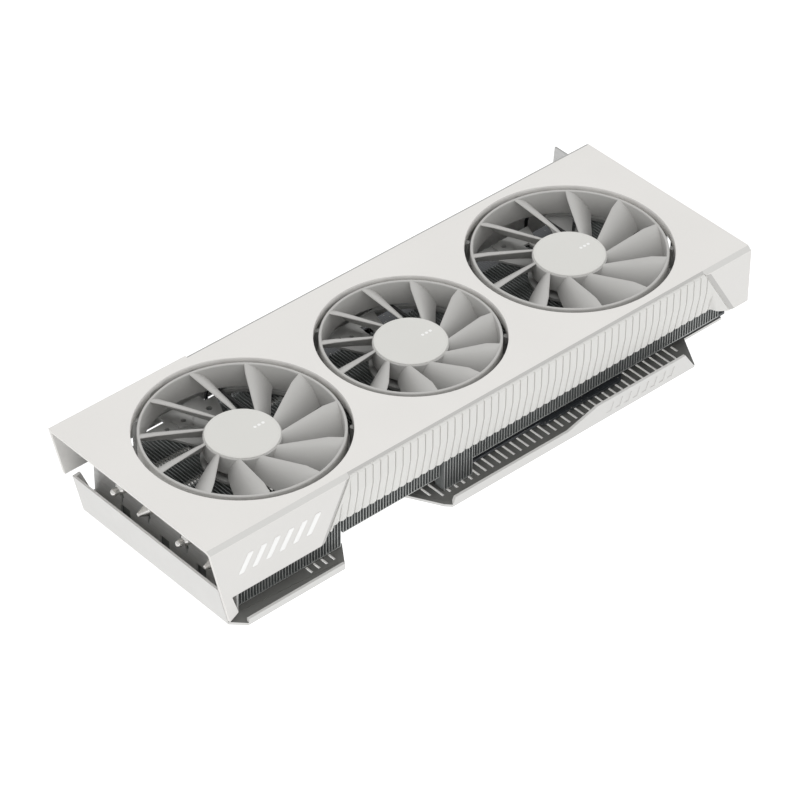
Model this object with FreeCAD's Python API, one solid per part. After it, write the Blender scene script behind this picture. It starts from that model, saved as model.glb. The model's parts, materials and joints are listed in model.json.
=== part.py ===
"""Triple-fan graphics card: cooler, fans, circuit board, backplate and I/O bracket.

Millimetres.  X runs along the card towards the I/O bracket, Y from the ribbed
side towards the expansion-slot edge, Z from the backplate up to the fans.
The origin lies on the backplate's outer face, below the middle fan's axis.
"""
import FreeCAD, Part
import math
import os

V = FreeCAD.Vector
PARTS = "parts"

# --- overall size -------------------------------------------------------
TOP = 51.3              # shroud's top face above the backplate's outer face
X_TAIL = -176.5         # tail end of the top face
X_HEAD = 175.7          # bracket end of the shroud
TAIL_LEAN = 0.225       # the tail end leans in by this much per mm of depth
Y_TOP_NEAR = -57.5      # ribbed-side edge of the top face
Y_NEAR = -60.0          # outer face of the ribbed-side wall
Y_FAR = 60.0            # outer face of the slot-side wall
SKIN = 2.0              # shroud skin
BEVEL_DROP = 2.0        # depth of the bevel between top face and near wall
Z_COLLAR = TOP - 6.0    # lower edge of the collar round each fan opening
Z_WALL_NEAR = 17.3      # lower edge of the near wall
Z_WALL_FAR = 20.1       # lower edge of the far wall at the tail
Z_WALL_FAR_LOW = 13.2   # and beyond X_WALL_STEP
X_WALL_STEP = -73.0
X_FAR_BEVEL = -92.7     # tail end of the far edge's bevel

# --- fans ---------------------------------------------------------------
FAN_PITCH = 106.86
FAN_RADIUS = [50.0, 45.0, 50.0]      # outside of each blade ring
HOLE_RADIUS = [53.0, 47.64, 53.0]    # shroud opening round each ring
FAN_X = [-FAN_PITCH, 0.0, FAN_PITCH]
BLADES = 11
RING_T = 1.5
Z_RING = (36.8, 50.9)
HUB_R = 19.0
Z_HUB = (37.0, 47.0)
SHAFT_R = 1.5

# --- cooler -------------------------------------------------------------
FIN_PITCH = 1.8
FIN_T = 0.4
Z_FIN_TOP = 31.4
Z_FIN_RAISED = 10.0
Z_FIN_DEEP = 2.2
FIN_NEAR = -53.0
FIN_FAR = (44.0, 42.0, 33.3)     # far edge of the tail, power and main stacks
X_FIN = (-156.6, -90.0, -27.5, -8.0, 163.6)
PIPE_R = 3.0
PIPE_Y = [24.6, 4.4, -24.0, -44.8]
Z_PIPE_HIGH = 28.2
Z_PIPE_LOW = 13.1
X_END_PLATE = -158.2

# --- board stack --------------------------------------------------------
BACK_T = 1.5
FILM_T = 0.25
Z_PCB = (3.8, 5.4)
PCB_FAR = 68.75
FINGER_Y = 77.0
X_KEY = 118.5           # centre of the slot key notch

# --- bracket ------------------------------------------------------------
BRACKET_T = 0.9
Z_BRACKET = (4.3, 43.0)
Y_FLANGE = -36.0
Y_TAB_TIP = 84.0
TAB_W = 10.19
SLOT_PITCH = 20.32
Z_TAB = (5.4, 5.4 + SLOT_PITCH)


def box(x0, x1, y0, y1, z0, z1):
    return Part.makeBox(x1 - x0, y1 - y0, z1 - z0, V(x0, y0, z0))


def cyl(x, y, z0, z1, r):
    return Part.makeCylinder(r, z1 - z0, V(x, y, z0))


def tube(x, y, z0, z1, r_in, r_out):
    return cyl(x, y, z0, z1, r_out).cut(cyl(x, y, z0 - 1, z1 + 1, r_in))


def face(points):
    return Part.Face(Part.makePolygon(points + points[:1]))


def prism_z(outline, z0, z1):
    return face([V(x, y, z0) for x, y in outline]).extrude(V(0, 0, z1 - z0))


def prism_y(outline, y0, y1):
    """Extrude an X-Z outline along Y."""
    return face([V(x, y0, z) for x, z in outline]).extrude(V(0, y1 - y0, 0))


def prism_x(outline, x0, x1):
    """Extrude a Y-Z outline along X."""
    return face([V(x0, y, z) for y, z in outline]).extrude(V(x1 - x0, 0, 0))


def fuse(shapes):
    first, rest = shapes[0], shapes[1:]
    return first.multiFuse(rest).removeSplitter() if rest else first


def cut_all(shape, tools):
    return shape.cut(Part.makeCompound(tools))


def save(name, shape):
    solids = shape.Solids
    whole = solids[0] if len(solids) == 1 else Part.makeCompound(solids)
    whole.exportStep(os.path.join(PARTS, name + ".step"))
    print(name, len(solids), "solid(s)", round(whole.Volume, 1), "mm3", whole.isValid())


def tail_x(z):
    """X of the leaning tail end at height z."""
    return X_TAIL + TAIL_LEAN * (TOP - z)


# --- shroud -------------------------------------------------------------
# Ribbed panel opening in the near wall: (X, Z) of its slanted sides, high and low.
PANEL_TAIL = ((-92.2, 48.0), (-106.3, 18.0))
PANEL_HEAD = ((144.4, 48.0), (162.6, 18.0))
Z_PANEL_TOP = 50.1      # top of the opening, part way up the bevel
JAMB_W = 3.0            # width of the chamfer along each slanted side


def panel_outline(grow, z_top, z_bottom):
    """Trapezoid of the ribbed panel in X-Z, grown sideways."""
    def side(pair, sign, z):
        (xa, za), (xb, zb) = pair
        return xa + (xb - xa) * (za - z) / (za - zb) + sign * grow
    return [(side(PANEL_TAIL, -1, z_top), z_top), (side(PANEL_HEAD, 1, z_top), z_top),
            (side(PANEL_HEAD, 1, z_bottom), z_bottom), (side(PANEL_TAIL, -1, z_bottom), z_bottom)]


def panel_jambs():
    """Funnel that chamfers the two slanted sides of the panel opening."""
    wires = []
    for grow, y in ((JAMB_W + 0.4, Y_NEAR - 0.1), (0.0, Y_NEAR + 0.7)):
        ring = [V(x, y, z) for x, z in panel_outline(grow, TOP - BEVEL_DROP, 15.0)]
        wires.append(Part.makePolygon(ring + ring[:1]))
    return Part.makeLoft(wires, True, True)


def make_shroud():
    z_in = TOP - SKIN
    bevel = BEVEL_DROP
    outer = [(Y_FAR, Z_WALL_FAR), (Y_FAR, TOP), (Y_TOP_NEAR, TOP), (Y_NEAR, TOP - bevel), (Y_NEAR, 2.9),
             (Y_NEAR + SKIN, 2.9), (Y_NEAR + SKIN, TOP - bevel - 0.8), (Y_TOP_NEAR + 0.9, z_in),
             (Y_FAR - SKIN, z_in), (Y_FAR - SKIN, Z_WALL_FAR)]
    body = prism_x(outer, X_TAIL, X_HEAD)
    leg = [(tail_x(2.9), 2.9), (-160.1, 6.2), (-163.7, Z_WALL_NEAR), (X_HEAD, Z_WALL_NEAR), (X_HEAD, TOP),
           (X_TAIL, TOP)]
    body = body.common(prism_y(leg, Y_NEAR - 1, Y_NEAR + SKIN + 1).fuse(
        prism_y([(tail_x(Z_WALL_FAR), Z_WALL_FAR), (X_HEAD, Z_WALL_FAR), (X_HEAD, TOP), (X_TAIL, TOP)],
                Y_NEAR + SKIN + 0.9, Y_FAR + 1)))
    body = body.cut(prism_y(panel_outline(0, Z_PANEL_TOP, 15.0), Y_NEAR - 1, Y_TOP_NEAR - 0.3))
    body = body.cut(prism_y(panel_outline(0, z_in - 1.3, 15.0), Y_NEAR - 1, -50))
    body = body.cut(panel_jambs())
    collars = [tube(x, 0, Z_COLLAR, z_in + 0.1, r, r + 1.6) for x, r in zip(FAN_X, HOLE_RADIUS)]
    body = fuse([body] + collars)
    body = cut_all(body, [cyl(x, 0, 30, TOP + 1, r) for x, r in zip(FAN_X, HOLE_RADIUS)])
    corner = [(Y_FAR - 2, TOP), (Y_FAR - 2, TOP + 1), (Y_FAR + 2, TOP + 1), (Y_FAR + 2, TOP - 2.3)]
    far_bevel = prism_x(corner, X_FAR_BEVEL, X_HEAD + 1)
    head_wall = box(X_HEAD - SKIN, X_HEAD, Y_NEAR + SKIN, Y_FAR - SKIN, 43.6, z_in)
    low_wall = box(X_WALL_STEP, X_HEAD, Y_FAR - SKIN, Y_FAR, Z_WALL_FAR_LOW, Z_WALL_FAR + 1)
    body = fuse([body.cut(far_bevel), head_wall, low_wall])
    bosses = [tube(x, y, Z_FIN_TOP + 5.0, z_in, 1.2, 3.0) for x, y in shroud_boss_places()]
    return fuse([body] + bosses)


def shroud_boss_places():
    """Screw bosses at the corners of each fan, outside the rings."""
    places = []
    for x in (-53.43, 53.43):
        for y in (-51.0, 51.0):
            places.append((x, y))
    for y in (-52.0, 52.0):
        places.append((-155.0, y))
        places.append((157.0, y))
    return places


def make_side_panel():
    """Ribbed, folded panel set into the near wall, with one rib every 4.72 mm."""
    z_top, z_fold, z_low = Z_PANEL_TOP - 0.3, 37.9, 21.3
    y_top, y_low, t = Y_NEAR + 0.3, -57.6, 1.2
    rise = 0.4

    def profile(shift, z_end):
        y_end = y_top + (y_low - y_top) * (z_fold - z_end) / (z_fold - z_low)
        return [(y_top + shift, z_top), (y_top + shift, z_fold), (y_end + shift, z_end),
                (y_end + shift + t, z_end), (y_top + shift + t, z_fold), (y_top + shift + t, z_top)]

    pitch, rib_w, first, count = 4.72, 3.9, -109.6, 58
    sheet = prism_x(profile(rise, z_low + 1.3), first, first + count * pitch)
    ribs = []
    for i in range(count):
        x = first + i * pitch
        ribs.append(prism_x(profile(0, z_low), x, x + rib_w))
    panel = fuse([sheet] + ribs)
    outline = panel_outline(-0.3, z_top, 20.0)
    return panel.common(prism_y(outline, -64, -50))


# --- backplate ----------------------------------------------------------
NEAR_EDGE = [(-165.0, -58.0), (-158.5, -64.6), (-98.8, -64.6), (-89.2, -51.1), (-89.2, -23.0), (-43.1, -23.0),
             (-43.1, -44.5), (-33.4, -62.0), (-30.6, -65.0), (133.4, -65.4), (144.2, -47.0), (171.0, -47.0)]
Y_BACK_FAR = 58.0
LIP_H = 5.2
FLANGE_H = 10.8


def slot_rows():
    """Vent slots as (x, y_near, y_far): pitch 4.68 mm, in line with the ribs above."""
    rows = [(-34.1, -53.0, -45.9), (134.4, -52.3, -47.4)]
    rows += [(-29.4 + 4.68 * i, -57.3, -46.0 if i < 28 else -43.5) for i in range(35)]
    rows += [(-113.2 + 4.7 * i, -57.6, -53.0) for i in range(4)]
    return rows


def slots(z0, z1, half):
    return [box(x - half, x + half, y0, y1, z0, z1) for x, y0, y1 in slot_rows()]


def back_screw_places():
    return [(-80.0, 40.0), (-30.0, 52.0), (75.0, 52.0), (160.0, 40.0), (160.0, -40.0), (75.0, -38.0)]


def clamp_screw_places():
    return [(GPU_X + sx * 27, GPU_Y + sy * 27) for sx in (-1, 1) for sy in (-1, 1)]


def end_wall():
    """Leaning wall across the tail, returning round its far corner."""
    height, t = 24.3, 1.4
    lean = TAIL_LEAN * height

    def outline(z, shift, reach):
        foot = [(-165.0, -57.8), (-165.0, 51.0), (-165.0 + reach, 51.0 + 0.1 * reach),
                (-165.0 + reach, 51.0 + 0.1 * reach - t), (-165.0 + t, 51.0 - t), (-165.0 + t, -57.8)]
        return Part.makePolygon([V(x - shift, y, z) for x, y in foot + foot[:1]])

    return Part.makeLoft([outline(0, 0, 9.0), outline(height, lean, 4.5)], True, True)


def near_lips():
    """Upturned strips along the near edge: a low lip each side, rising into a tall flange."""
    t = 1.5
    strip = prism_z([(-30.6, -65.0), (133.4, -65.4), (133.0, -65.4 + t), (-29.6, -65.0 + t)], 0, FLANGE_H)
    profile = [(-31.0, 0), (140.0, 0), (133.4, 0.5), (126.4, FLANGE_H), (65.8, FLANGE_H), (46.0, LIP_H),
               (-28.6, LIP_H)]
    tail_lip = box(-158.0, -98.8, -64.6, -64.6 + t, 0, 3.6)
    return [strip.common(prism_y(profile, -70, -55)), tail_lip]


def make_backplate():
    outline = NEAR_EDGE + [(171.0, Y_BACK_FAR), (-154.0, Y_BACK_FAR), (-165.0, 51.0)]
    plate = prism_z(outline, 0, BACK_T)
    body = fuse([plate, end_wall()] + near_lips())
    body = cut_all(body, slots(-1, 3, 0.65))
    screws = [cyl(x, y, -1, 3, 1.75).fuse(Part.makeCone(3.3, 1.75, 1.35, V(x, y, 0)))
              for x, y in back_screw_places()]
    body = cut_all(body, screws + [cyl(x, y, -1, 3, 3.4) for x, y in clamp_screw_places()])
    marks = []
    for i in range(8):
        x = 72.0 + i * 6.0
        marks.append(prism_y([(x, 3.0), (x + 3.0, 3.0), (x + 5.0, 8.2), (x + 2.0, 8.2)], -66, -65.0))
    return cut_all(body, marks)


def make_film():
    edge = [(-160.0, -55.5), (-99.5, -60.5), (-91.5, -50.0), (-91.5, -21.0), (-41.0, -21.0), (-41.0, -44.0),
            (-31.8, -60.0), (-29.4, -62.8), (132.0, -63.0), (141.5, -48.0), (141.5, -45.5), (169.0, -45.5)]
    outline = edge + [(169.0, Y_BACK_FAR - 2), (-150.0, Y_BACK_FAR - 2), (-160.0, 48.5)]
    film = prism_z(outline, BACK_T, BACK_T + FILM_T)
    film = cut_all(film, slots(1, 3, 0.8))
    return cut_all(film, [cyl(x, y, 1, 3, 3.6) for x, y in back_screw_places() + clamp_screw_places()])


def make_back_screws():
    screws = []
    for x, y in back_screw_places():
        head = Part.makeCone(2.9, 1.25, 1.3, V(x, y, 0.1))
        socket = prism_z([(x + 1.1 * math.cos(k * math.pi / 3), y + 1.1 * math.sin(k * math.pi / 3))
                          for k in range(6)], 0, 0.9)
        screws.append(head.fuse(cyl(x, y, 1.3, 5.3, 1.25)).cut(socket))
    return Part.makeCompound(screws)


# --- circuit board ------------------------------------------------------
GPU_X, GPU_Y = 27.0, 6.0
SOCKET_X = [-77.0, -55.0]
CABLE_X = 22.5          # fan lead's offset from its fan's axis
HEADER_X = [x + CABLE_X for x in FAN_X]
HEADER_Y = 55.3


def make_pcb():
    lead = 11.65
    long_pads = 71.65
    half_key = 0.95
    outline = [(-89.5, -22.0), (-42.0, -22.0), (-42.0, -46.0), (-6.5, -46.0), (-6.5, -50.5), (40.0, -50.5),
               (42.0, -52.6), (94.0, -52.6), (99.0, -48.0), (172.0, -48.0), (172.0, PCB_FAR),
               (X_KEY + half_key + lead, PCB_FAR), (X_KEY + half_key + lead, FINGER_Y - 0.6),
               (X_KEY + half_key + lead - 0.6, FINGER_Y), (X_KEY + half_key, FINGER_Y),
               (X_KEY + half_key, PCB_FAR + 0.6), (X_KEY - half_key, PCB_FAR + 0.6),
               (X_KEY - half_key, FINGER_Y), (X_KEY - half_key - long_pads, FINGER_Y),
               (X_KEY - half_key - long_pads, PCB_FAR),
               (41.0, PCB_FAR), (41.0, 73.6), (33.5, 73.6), (33.5, PCB_FAR), (-89.5, PCB_FAR)]
    board = prism_z(outline, *Z_PCB)
    board = cut_all(board, [cyl(x, y, 3, 6, 1.3) for x, y in back_screw_places()])
    board = cut_all(board, [cyl(x, y, 3, 6, 1.9) for x, y in clamp_screw_places()])
    edge_bevel = [(FINGER_Y - 0.5, Z_PCB[0]), (FINGER_Y + 0.1, Z_PCB[0]), (FINGER_Y + 0.1, Z_PCB[0] + 0.4)]
    upper_bevel = [(y, Z_PCB[0] + Z_PCB[1] - z) for y, z in edge_bevel]
    return board.cut(prism_x(edge_bevel, 40, 140)).cut(prism_x(upper_bevel, 40, 140))


def make_contacts():
    """Gold edge pads on both faces of the connector tongue, 1 mm pitch."""
    pads = []
    starts = [X_KEY + 1.6 + i for i in range(11)] + [X_KEY - 2.3 - i for i in range(70)]
    for x in starts:
        pads.append(box(x, x + 0.7, 71.6, 76.2, Z_PCB[0] - 0.05, Z_PCB[0]))
        pads.append(box(x, x + 0.7, 71.6, 76.2, Z_PCB[1], Z_PCB[1] + 0.05))
    return Part.makeCompound(pads)


def make_substrate():
    z = Z_PCB[1]
    plate = box(GPU_X - 22, GPU_X + 22, GPU_Y - 22, GPU_Y + 22, z, z + 1.1)
    frame = box(GPU_X - 22, GPU_X + 22, GPU_Y - 22, GPU_Y + 22, z + 1.1, z + 1.5)
    window = box(GPU_X - 19, GPU_X + 19, GPU_Y - 19, GPU_Y + 19, z, z + 3)
    return fuse([plate, frame.cut(window)])


def make_die():
    z = Z_PCB[1] + 1.1
    return box(GPU_X - 11.5, GPU_X + 11.5, GPU_Y - 12.5, GPU_Y + 12.5, z, z + 0.9)


def memory_places():
    places = [(GPU_X - 35.5, GPU_Y + dy) for dy in (-16, 0, 16)]
    places += [(GPU_X + 35.5, GPU_Y + dy) for dy in (-16, 0, 16)]
    return places + [(GPU_X + dx, GPU_Y + 33.5) for dx in (-9, 9)]


def make_memory():
    return Part.makeCompound([box(x - 6, x + 6, y - 7, y + 7, Z_PCB[1], Z_PCB[1] + 1.1)
                              for x, y in memory_places()])


def vrm_places():
    """Two columns of power stages, either side of the processor."""
    left = [(-22.0, -37.0 + 9.4 * i) for i in range(8)]
    right = [(80.0, -30.0 + 9.4 * i) for i in range(7)]
    return left, right


def make_inductors():
    left, right = vrm_places()
    blocks = []
    for x, y in left + right:
        core = box(x - 3.6, x + 3.6, y - 3.9, y + 3.9, Z_PCB[1], Z_PCB[1] + 3.9)
        blocks.append(core.makeChamfer(0.5, core.Edges))
    return Part.makeCompound(blocks)


def make_mosfets():
    left, right = vrm_places()
    chips = [box(x - 11.0, x - 5.5, y - 2.8, y + 2.8, Z_PCB[1], Z_PCB[1] + 0.9) for x, y in left]
    chips += [box(x + 5.5, x + 11.0, y - 2.8, y + 2.8, Z_PCB[1], Z_PCB[1] + 0.9) for x, y in right]
    return Part.makeCompound(chips)


def make_capacitors():
    left, right = vrm_places()
    cans = []
    for x, y in [(x - 18.0, y) for x, y in left] + [(x + 18.0, y) for x, y in right]:
        z = Z_PCB[1]
        can = cyl(x, y, z + 0.5, z + 4.2, 3.0).fuse(box(x - 3.2, x + 3.2, y - 3.2, y + 3.2, z, z + 0.5))
        cans.append(can.cut(tube(x, y, z + 0.9, z + 1.2, 2.8, 3.4)))
    return Part.makeCompound(cans)


def make_pads():
    pads = [box(x - 5.5, x + 5.5, y - 6.5, y + 6.5, Z_PCB[1] + 1.1, 7.45) for x, y in memory_places()]
    return Part.makeCompound(pads)


def fan_header(x):
    body = box(x - 4.8, x + 4.8, HEADER_Y - 2.9, HEADER_Y + 2.9, Z_PCB[1], Z_PCB[1] + 4.2)
    return body.cut(box(x - 3.9, x + 3.9, HEADER_Y - 2.0, HEADER_Y + 2.0, Z_PCB[1] + 1.2, 20))


def make_headers():
    return Part.makeCompound([fan_header(x) for x in HEADER_X])


# --- power sockets ------------------------------------------------------
Z_SOCKET = (0.3, 9.7)
Y_SOCKET = (-38.0, -24.0)


def make_power_socket(x):
    z0, z1 = Z_SOCKET
    body = box(x - 9.4, x + 9.4, Y_SOCKET[0], Y_SOCKET[1], z0, z1)
    cells = []
    for i in range(4):
        for zc in (z0 + 2.7, z0 + 6.7):
            cx = x - 6.3 + 4.2 * i
            cells.append(box(cx - 1.75, cx + 1.75, Y_SOCKET[0] - 1, Y_SOCKET[1] - 3, zc - 1.7, zc + 1.7))
    latch = box(x - 2.5, x + 2.5, Y_SOCKET[0] + 1.0, Y_SOCKET[0] + 4.0, z0, z0 + 0.5)
    return cut_all(body, cells).cut(latch)


def make_power_pins():
    pins = []
    for x in SOCKET_X:
        for i in range(4):
            for zc in (Z_SOCKET[0] + 2.7, Z_SOCKET[0] + 6.7):
                cx = x - 6.3 + 4.2 * i
                pins.append(box(cx - 0.5, cx + 0.5, Y_SOCKET[0] + 2.0, Y_SOCKET[1] - 3.0, zc - 0.5, zc + 0.5))
    return Part.makeCompound(pins)


# --- cooler -------------------------------------------------------------
def comb(x0, x1, y0, y1, z0, z1):
    """Fins perpendicular to X, joined by their folded lower edges."""
    count = int((x1 - x0 - FIN_T) / FIN_PITCH) + 1
    fold = 0.4
    points = [V(x0, y0, z0)]
    for i in range(count):
        x = x0 + i * FIN_PITCH
        points += [V(x, y0, z1), V(x + FIN_T, y0, z1)]
        if i < count - 1:
            points += [V(x + FIN_T, y0, z0 + fold), V(x + FIN_PITCH, y0, z0 + fold)]
    points.append(V(points[-1].x, y0, z0))
    return face(points).extrude(V(0, y1 - y0, 0))


def pipe_path(y, start_x):
    """Pipe axis: high run through the tail fins, S-bend, low run over the cold plate."""
    bend_r = 18.0
    drop = Z_PIPE_HIGH - Z_PIPE_LOW
    angle = math.radians(42.0)
    arc_drop = bend_r * (1 - math.cos(angle))
    slope_drop = drop - 2 * arc_drop
    slope_run = slope_drop / math.tan(angle)
    x0 = -40.0
    p1 = V(x0, y, Z_PIPE_HIGH)
    m1 = V(x0 + bend_r * math.sin(angle / 2), y, Z_PIPE_HIGH - bend_r * (1 - math.cos(angle / 2)))
    p2 = V(x0 + bend_r * math.sin(angle), y, Z_PIPE_HIGH - arc_drop)
    p3 = V(p2.x + slope_run, y, p2.z - slope_drop)
    p4 = V(p3.x + bend_r * math.sin(angle), y, Z_PIPE_LOW)
    m2 = V(p4.x - bend_r * math.sin(angle / 2), y, Z_PIPE_LOW + bend_r * (1 - math.cos(angle / 2)))
    edges = [Part.LineSegment(V(start_x, y, Z_PIPE_HIGH), p1).toShape(), Part.Arc(p1, m1, p2).toShape(),
             Part.LineSegment(p2, p3).toShape(), Part.Arc(p3, m2, p4).toShape(),
             Part.LineSegment(p4, V(158.0, y, Z_PIPE_LOW)).toShape()]
    return Part.Wire(edges)


def pipe_solid(y, start_x, r):
    ring = Part.Wire(Part.makeCircle(r, V(start_x, y, Z_PIPE_HIGH), V(1, 0, 0)))
    return pipe_path(y, start_x).makePipeShell([ring], True, False)


def make_heat_pipes():
    pipes = []
    x_tip = -167.6
    for i, y in enumerate(PIPE_Y):
        start = x_tip + 5.0
        body = pipe_solid(y, start, PIPE_R)
        at = V(start, y, Z_PIPE_HIGH)
        if i % 2:
            tip = Part.makeCone(PIPE_R, 0.9, 5.0, at, V(-1, 0, 0))
        else:
            neck = Part.makeCylinder(1.9, 3.2, at, V(-1, 0, 0))
            tip = neck.fuse(Part.makeSphere(1.9, at + V(-3.2, 0, 0)))
            tip = tip.fuse(Part.makeCone(PIPE_R, 1.9, 1.1, at, V(-1, 0, 0)))
        pipes.append(body.fuse(tip).removeSplitter())
    return Part.makeCompound(pipes)


def pipe_holes():
    return [pipe_solid(y, -175.0, PIPE_R + 0.1) for y in PIPE_Y]


def make_fins(holes):
    tail, raised, deep, main, end = X_FIN
    y0 = FIN_NEAR
    y_split = -48.4
    z_split = 21.0
    stacks = {
        "fin_stack_tail": comb(tail, raised - 0.5, y0, FIN_FAR[0], Z_FIN_DEEP, Z_FIN_TOP),
        "fin_stack_power": comb(raised, deep - 0.5, y0, FIN_FAR[1], Z_FIN_RAISED, Z_FIN_TOP),
        "fin_stack_main": comb(deep, end, y0, FIN_FAR[2], Z_FIN_RAISED, Z_FIN_TOP),
    }
    stacks["fin_stack_main"] = stacks["fin_stack_main"].cut(box(deep - 1, main, y0 - 1, y_split, 0, z_split))
    for name in stacks:
        stacks[name] = cut_all(stacks[name], holes)
    stacks["fin_stack_deep"] = comb(deep + 0.2, main - 0.4, -55.2, y_split - 0.3, Z_FIN_DEEP, z_split - 0.2)
    return stacks


def make_end_plate():
    """Sheet behind the tail fins: windows low down, a port for each pipe and a keyhole below it."""
    through = V(1, 0, 0)
    x0 = X_END_PLATE - 2.0
    x1 = X_END_PLATE + 3.0
    plate = box(X_END_PLATE, X_END_PLATE + 1.0, -56.0, 50.2, Z_FIN_DEEP, Z_FIN_TOP + 0.2)
    windows = [box(x0, x1, y - 3.5, y + 3.5, 5.0, 13.4) for y in (26.4, -3.1, -30.4)]
    ports = [Part.makeCylinder(PIPE_R + 0.1, x1 - x0, V(x0, y, Z_PIPE_HIGH), through) for y in PIPE_Y]
    keyholes = []
    z_key = Z_PIPE_HIGH - 9.0
    for y in PIPE_Y[:3]:
        keyholes.append(Part.makeCylinder(1.5, x1 - x0, V(x0, y + 4.2, z_key), through))
        keyholes.append(box(x0, x1, y + 3.6, y + 4.8, z_key - 4.5, z_key))
    return cut_all(plate, windows + ports + keyholes)


def make_cold_plate():
    plate = box(GPU_X - 43, GPU_X + 43, GPU_Y - 30, GPU_Y + 42, 7.45, 9.95)
    return cut_all(plate, [cyl(x, y, 7, 8.9, 1.3) for x, y in clamp_screw_places()])


def make_clamp():
    """Four-armed leaf spring behind the board, pulled down by the spring screws."""
    z0, z1 = BACK_T + FILM_T + 0.15, BACK_T + FILM_T + 0.95
    arms = []
    for sx, sy in ((1, 1), (1, -1)):
        dx, dy = 27 * sx, 27 * sy
        px, py = -dy / 38.2 * 3.2, dx / 38.2 * 3.2
        ends = [(GPU_X - dx - px, GPU_Y - dy - py), (GPU_X + dx - px, GPU_Y + dy - py),
                (GPU_X + dx + px, GPU_Y + dy + py), (GPU_X - dx + px, GPU_Y - dy + py)]
        arms.append(prism_z(ends, z0, z1))
    pads = [cyl(x, y, z0, z1, 4.2) for x, y in clamp_screw_places()]
    frame = box(GPU_X - 14, GPU_X + 14, GPU_Y - 14, GPU_Y + 14, z0, z1)
    clamp = fuse(arms + pads + [frame])
    return cut_all(clamp, [cyl(x, y, 0, 5, 1.9) for x, y in clamp_screw_places()])


def make_clamp_screws():
    screws = []
    for x, y in clamp_screw_places():
        head = cyl(x, y, 0.3, BACK_T + FILM_T + 0.1, 3.0)
        slot = box(x - 2.2, x + 2.2, y - 0.35, y + 0.35, 0, 0.9)
        cross = box(x - 0.35, x + 0.35, y - 2.2, y + 2.2, 0, 0.9)
        screws.append(head.fuse(cyl(x, y, 1.8, 8.7, 1.25)).cut(slot).cut(cross))
    return Part.makeCompound(screws)


# --- I/O bracket --------------------------------------------------------
DP_Y = [-16.0, 6.0, 50.0]
HDMI_Y = 28.0
Z_PORT = (5.6, 11.4)
X_BRACKET = X_HEAD


def port_outline(y, half_w, z0, z1, cut):
    """Receptacle outline in Y-Z with its two lower corners cut off."""
    return [(y - half_w, z1), (y + half_w, z1), (y + half_w, z0 + cut), (y + half_w - cut, z0),
            (y - half_w + cut, z0), (y - half_w, z0 + cut)]


def make_bracket():
    x0, x1 = X_BRACKET, X_BRACKET + BRACKET_T
    z0, z1 = Z_BRACKET
    y_body = 66.0
    outline = [(Y_FLANGE, z0), (y_body + 3.0, z0), (y_body + 6.5, Z_TAB[0])]
    outline += [(Y_TAB_TIP, Z_TAB[0]), (Y_TAB_TIP, Z_TAB[0] + TAB_W), (y_body + 7.0, Z_TAB[0] + TAB_W)]
    outline += [(y_body + 1.5, Z_TAB[0] + TAB_W + 5.0), (y_body + 6.5, Z_TAB[1])]
    outline += [(Y_TAB_TIP, Z_TAB[1]), (Y_TAB_TIP - 0.8, Z_TAB[1] + TAB_W), (y_body + 7.0, Z_TAB[1] + TAB_W)]
    outline += [(y_body, z1), (Y_FLANGE, z1)]
    plate = prism_x(outline, x0, x1)
    flange = box(x0, x0 + 12.3, Y_FLANGE - BRACKET_T, Y_FLANGE, 5.4, 37.4)
    for zc in (Z_TAB[0] + TAB_W / 2, Z_TAB[1] + TAB_W / 2):
        notch = box(x0 + 7.6, x0 + 20, Y_FLANGE - 2, Y_FLANGE + 1, zc - 2.2, zc + 2.2)
        flange = flange.cut(notch).cut(Part.makeCylinder(2.2, 3, V(x0 + 7.6, Y_FLANGE - 2, zc), V(0, 1, 0)))
    z_ports = (Z_PORT[0] - 0.1, Z_PORT[1] + 0.1)
    ports = [prism_x(port_outline(y, 8.6, *z_ports, 0.8), x0 - 1, x1 + 1) for y in DP_Y]
    ports.append(prism_x(port_outline(HDMI_Y, 7.8, *z_ports, 1.4), x0 - 1, x1 + 1))
    vents = [box(x0 - 1, x1 + 1, y, y + 3.0, 17.0, 38.5) for y in [-28.0 + 6.0 * i for i in range(15)]]
    lower_ear = box(168.0, x0, -33.5, -26.5, Z_PCB[1], Z_PCB[1] + 0.9)
    upper_ear = box(168.0, x0, 60.5, 66.5, Z_PCB[1], Z_PCB[1] + 0.9)
    body = fuse([cut_all(plate, ports + vents), flange, lower_ear, upper_ear])
    return cut_all(body, [cyl(x, y, 0, 20, 1.5) for x, y in bracket_screw_places()])


def bracket_screw_places():
    return [(171.0, -30.0), (171.0, 63.5)]


def make_bracket_screws():
    screws = []
    for x, y in bracket_screw_places():
        z = Z_PCB[1] + 0.9
        head = cyl(x, y, z, z + 1.5, 2.6)
        slot = box(x - 1.8, x + 1.8, y - 0.3, y + 0.3, z + 0.8, z + 2)
        cross = box(x - 0.3, x + 0.3, y - 1.8, y + 1.8, z + 0.8, z + 2)
        screws.append(head.cut(slot).cut(cross).fuse(cyl(x, y, Z_PCB[1], z, 1.45)))
    return Part.makeCompound(screws)


def make_port(y, half_w, cut, tongue_half):
    x0, x1 = 165.0, X_BRACKET + BRACKET_T + 0.4
    z0, z1 = Z_PORT
    shell = prism_x(port_outline(y, half_w, z0, z1, cut), x0, x1)
    mouth = prism_x(port_outline(y, half_w - 0.4, z0 + 0.4, z1 - 0.4, cut), x0 + 2.0, x1 + 1)
    tongue = box(x0 + 1.9, x1 - 1.0, y - tongue_half, y + tongue_half, z0 + 2.5, z0 + 3.5)
    return shell.cut(mouth).fuse(tongue)


# --- fans ---------------------------------------------------------------
ROOT_ANGLE, KINK_ANGLE, TIP_ANGLE = -2.3, 15.0, 16.2


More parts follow.
